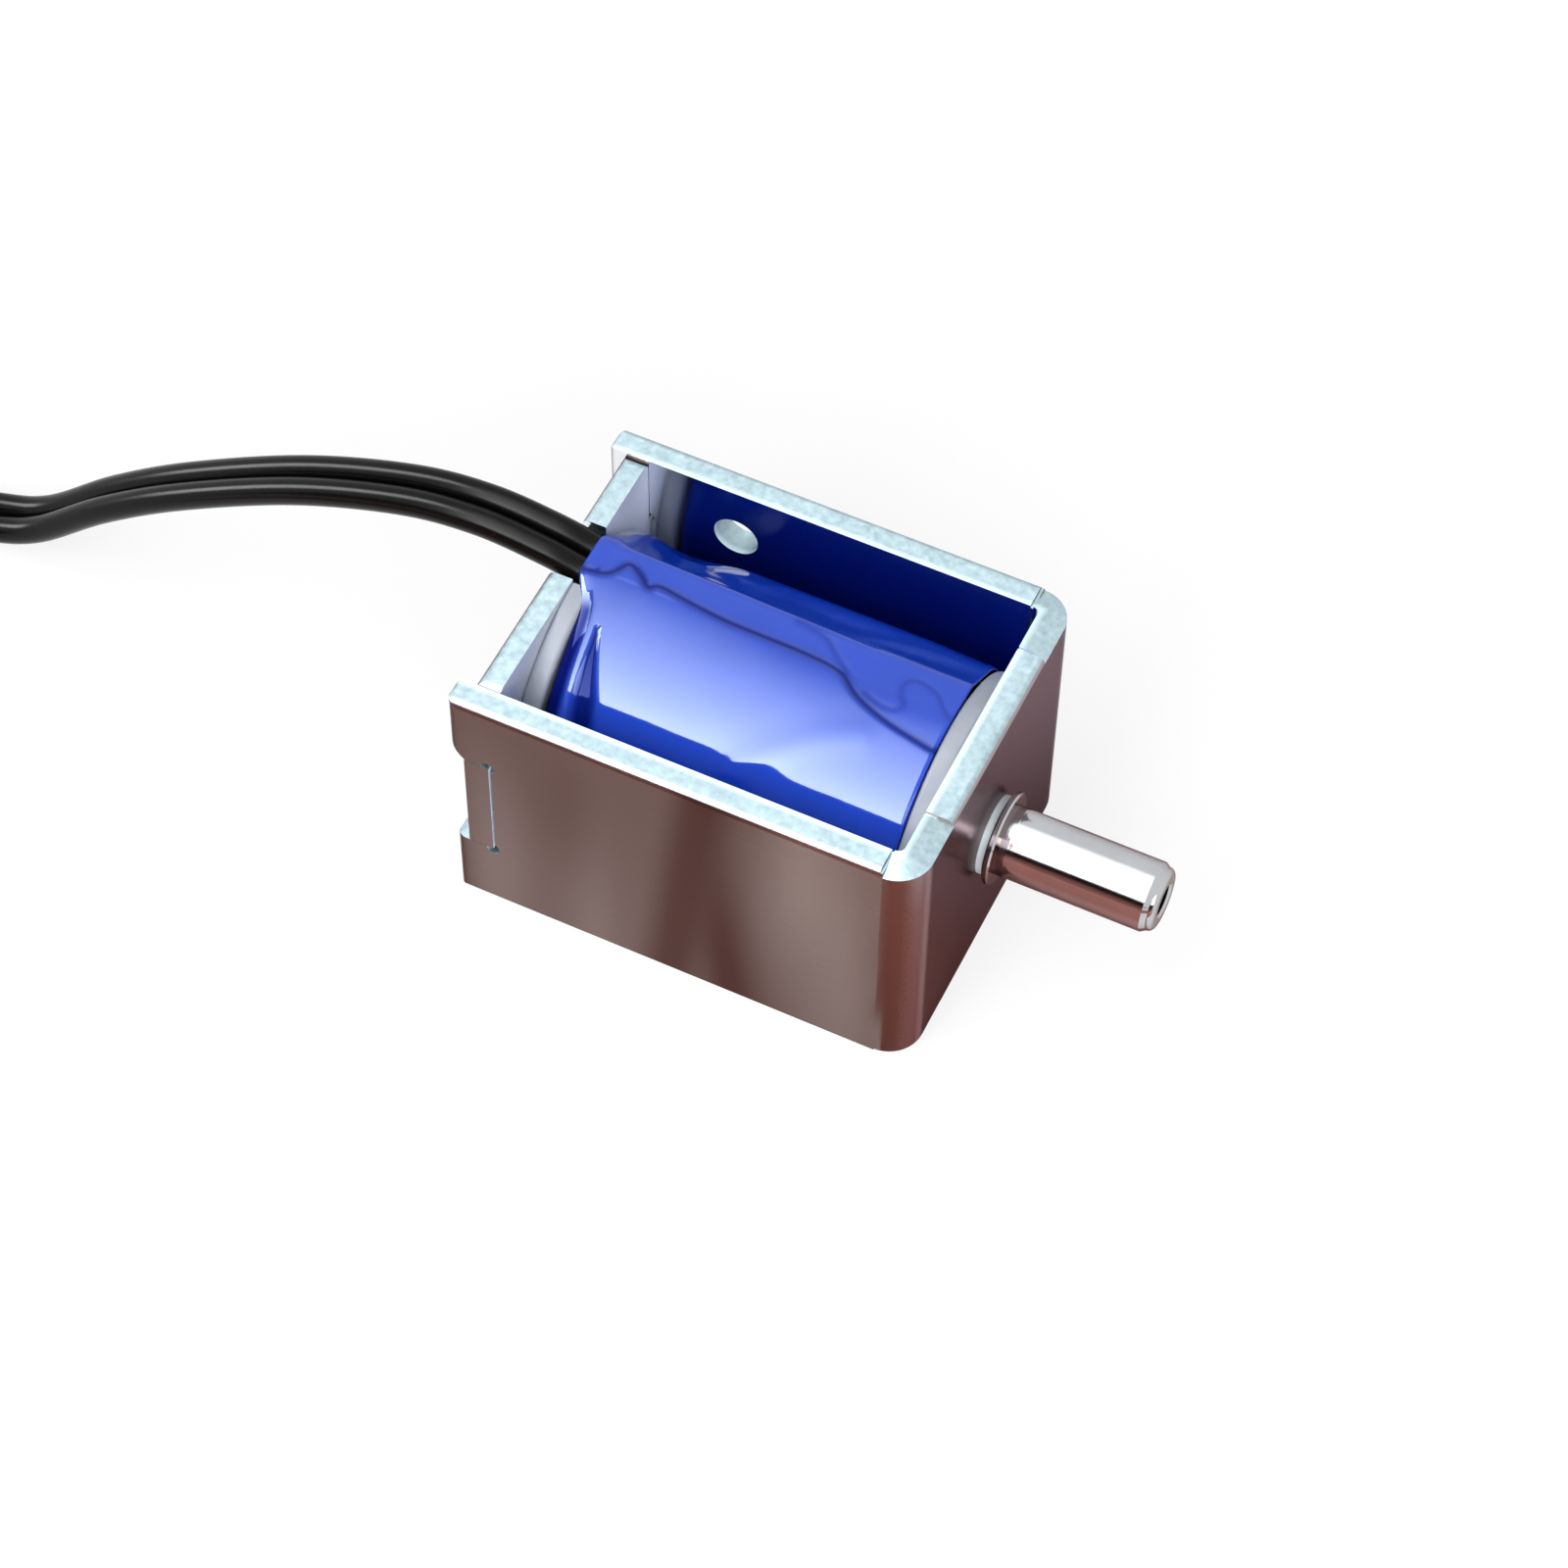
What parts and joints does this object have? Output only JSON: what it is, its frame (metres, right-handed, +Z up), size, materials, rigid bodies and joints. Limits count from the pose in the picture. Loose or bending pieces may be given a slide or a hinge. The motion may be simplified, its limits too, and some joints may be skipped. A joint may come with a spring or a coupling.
{
  "type": "micro solenoid valve",
  "caption": "Small air valve with an open bent-steel frame, a blue taped coil, a plated hose nozzle at the front, a sprung plunger inside and a pair of black leads.",
  "frame": {"origin": "middle of the valve's length and width, on the plane of the frame's lower edges", "axes": "+X along the nozzle, out of the front plate; +Z up, through the frame's open side; +Y towards the wall with the mounting holes"},
  "size_m": [0.0961, 0.0156, 0.0136],
  "materials": {
    "zinc_plated_steel": "satin bright zinc plating on cold-rolled steel strip",
    "turned_steel": "turned, zinc-plated",
    "nickel_plate": "bright nickel plating",
    "bobbin_plastic": "moulded, light grey",
    "copper": "enamelled copper wire",
    "amber_film": "clear amber film",
    "blue_tape": "glossy polyester film",
    "solder": "bright solder and tinned copper",
    "black_pvc": "smooth extruded insulation",
    "sleeve_brass": "drawn tube",
    "rubber": "moulded rubber",
    "spring_steel": "drawn wire"
  },
  "bodies": {
    "valve_body": {"frame": "zinc_plated_steel", "rear_plate": "zinc_plated_steel", "bobbin": "bobbin_plastic", "winding": "copper", "winding_tails": "copper", "inner_wrap": "amber_film", "solder_joints": "solder", "tape_wrap": "blue_tape", "lead_a": "black_pvc", "lead_b": "black_pvc", "lead_tip_a": "solder", "lead_tip_b": "solder", "fixed_core": "turned_steel", "nozzle": "nickel_plate", "guide_sleeve": "sleeve_brass", "return_spring": "spring_steel", "rear_bumper": "rubber"},
    "plunger": {"plunger": "turned_steel", "plunger_seal": "rubber"}
  },
  "joints": [
    {"name": "plunger_slide", "type": "slide", "parent": "valve_body", "child": "plunger", "axis": [1, 0, 0], "range_m": [0, 0.001], "stiffness_N_per_m": 100, "springref_m": -0.0015, "deforming": ["return_spring"]}
  ]
}
